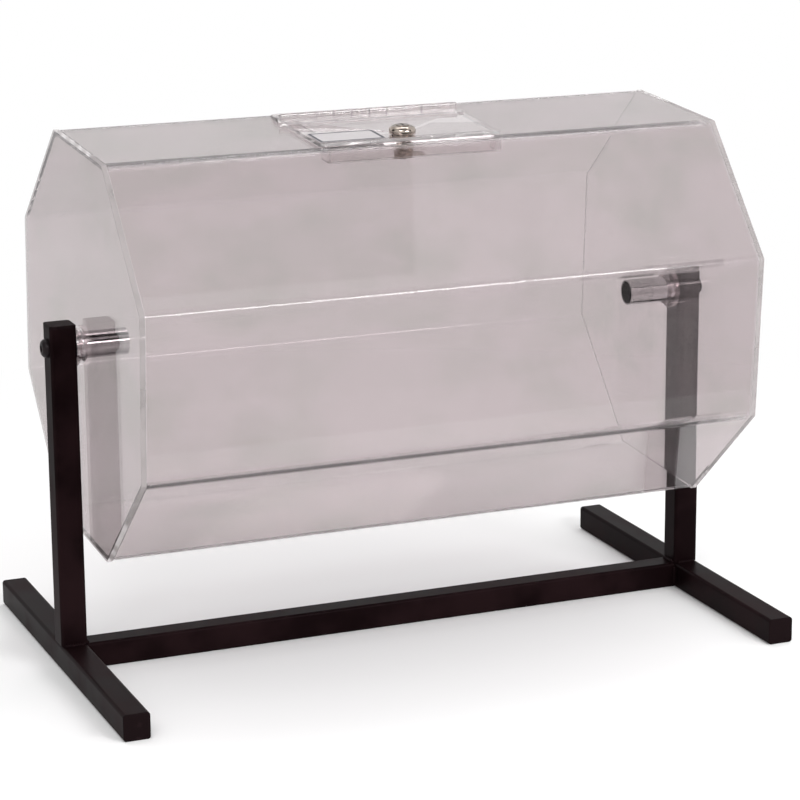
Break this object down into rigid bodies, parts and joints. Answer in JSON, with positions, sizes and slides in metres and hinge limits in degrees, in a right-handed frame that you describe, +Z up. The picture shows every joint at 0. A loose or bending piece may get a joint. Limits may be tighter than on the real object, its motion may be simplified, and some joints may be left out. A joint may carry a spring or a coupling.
{
  "type": "raffle drum",
  "caption": "Clear octagonal raffle drum turning on stub axles in a black square-tube stand, with a hinged, cam-locked loading door.",
  "frame": {"origin": "on the floor, below the middle of the drum and of the stand", "axes": "+Z up, +X along the drum's axis, -Y towards the door's locking edge"},
  "size_m": [0.676, 0.412, 0.5037],
  "materials": {
    "clear_acrylic": "clear polished acrylic sheet",
    "hinge_clear": "clear moulded plastic",
    "stand_black": "semi-gloss black coating on square steel tube",
    "cap_black": "black moulded end cap",
    "chrome_tube": "polished chrome on round tube",
    "bolt_black": "black oxide",
    "plain_steel": "zinc plated",
    "nickel": "bright nickel plate"
  },
  "bodies": {
    "stand": {"foot_left": "stand_black", "post_left": "stand_black", "post_cap_left": "cap_black", "foot_cap_left_front": "cap_black", "foot_cap_left_back": "cap_black", "foot_right": "stand_black", "post_right": "stand_black", "post_cap_right": "cap_black", "foot_cap_right_front": "cap_black", "foot_cap_right_back": "cap_black", "crossbar": "stand_black", "axle_tube_left": "chrome_tube", "axle_insert_left": "plain_steel", "axle_bolt_left": "bolt_black", "axle_tube_right": "chrome_tube", "axle_insert_right": "plain_steel", "axle_bolt_right": "bolt_black"},
    "drum": {"drum_shell": "clear_acrylic", "end_plate_left": "clear_acrylic", "ring_outer_left": "clear_acrylic", "ring_inner_left": "clear_acrylic", "end_plate_right": "clear_acrylic", "ring_outer_right": "clear_acrylic", "ring_inner_right": "clear_acrylic", "door_keeper": "clear_acrylic", "hinge_rail": "clear_acrylic", "hinge_leaf_fixed": "hinge_clear", "hinge_pin": "hinge_clear"},
    "door": {"door_sheet": "clear_acrylic", "door_core": "clear_acrylic", "hinge_leaf_moving": "hinge_clear", "lock_body": "nickel", "lock_nut": "nickel"},
    "lock": {"lock_plug": "nickel", "lock_cam": "nickel", "cam_screw": "plain_steel"}
  },
  "joints": [
    {"name": "drum_spin", "type": "hinge", "parent": "stand", "child": "drum", "pos_m": [0, 0, 0.308], "axis": [1, 0, 0], "continuous": true},
    {"name": "door_open", "type": "hinge", "parent": "drum", "child": "door", "pos_m": [0, 0.02405, 0.50018], "axis": [-1, 0, 0], "range_deg": [0, 170]},
    {"name": "lock_turn", "type": "hinge", "parent": "door", "child": "lock", "pos_m": [-0.007, -0.06013, 0.4924], "axis": [0, 0.0624, -0.998], "range_deg": [0, 90]}
  ]
}
